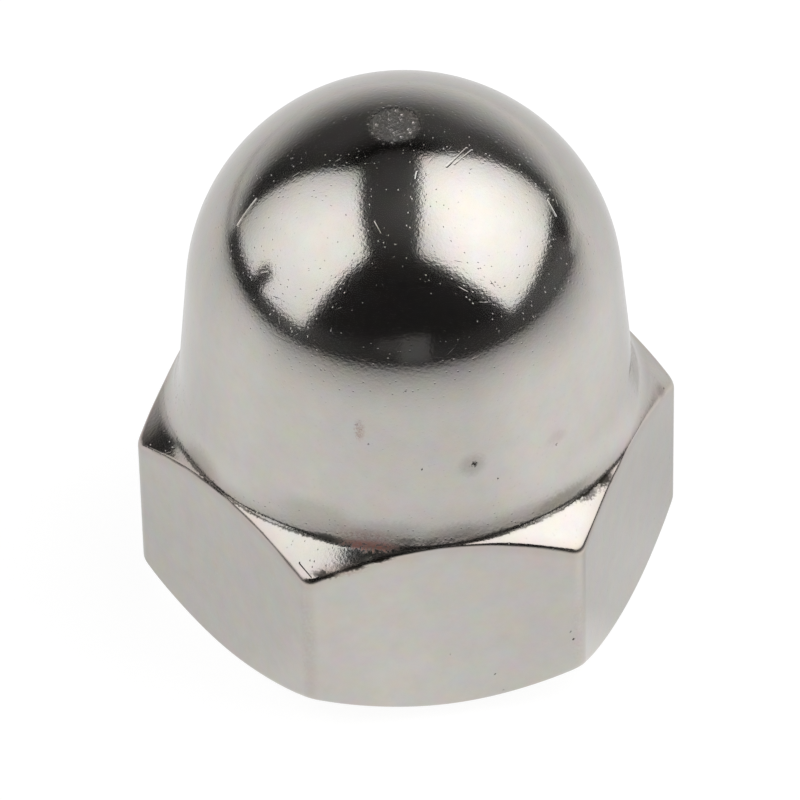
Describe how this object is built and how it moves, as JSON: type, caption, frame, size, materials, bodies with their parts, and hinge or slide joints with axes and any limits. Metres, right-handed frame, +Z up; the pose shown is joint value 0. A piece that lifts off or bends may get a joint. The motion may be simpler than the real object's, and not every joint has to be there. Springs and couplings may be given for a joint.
{
  "type": "cap nut",
  "caption": "Cap nut: a hexagon nut closed by a polished dome, with a blind threaded hole, to cover and protect the end of a bolt.",
  "frame": {"origin": "centre of the bearing face, on the axis of the thread", "axes": "+Z is up along the thread, from the bearing face to the crown; two flats face +Y and -Y, and two corners point along +X and -X"},
  "size_m": [0.0114, 0.01, 0.012],
  "materials": {
    "stainless_steel": "polished"
  },
  "bodies": {
    "root": {"cap_nut": "stainless_steel"}
  },
  "joints": []
}
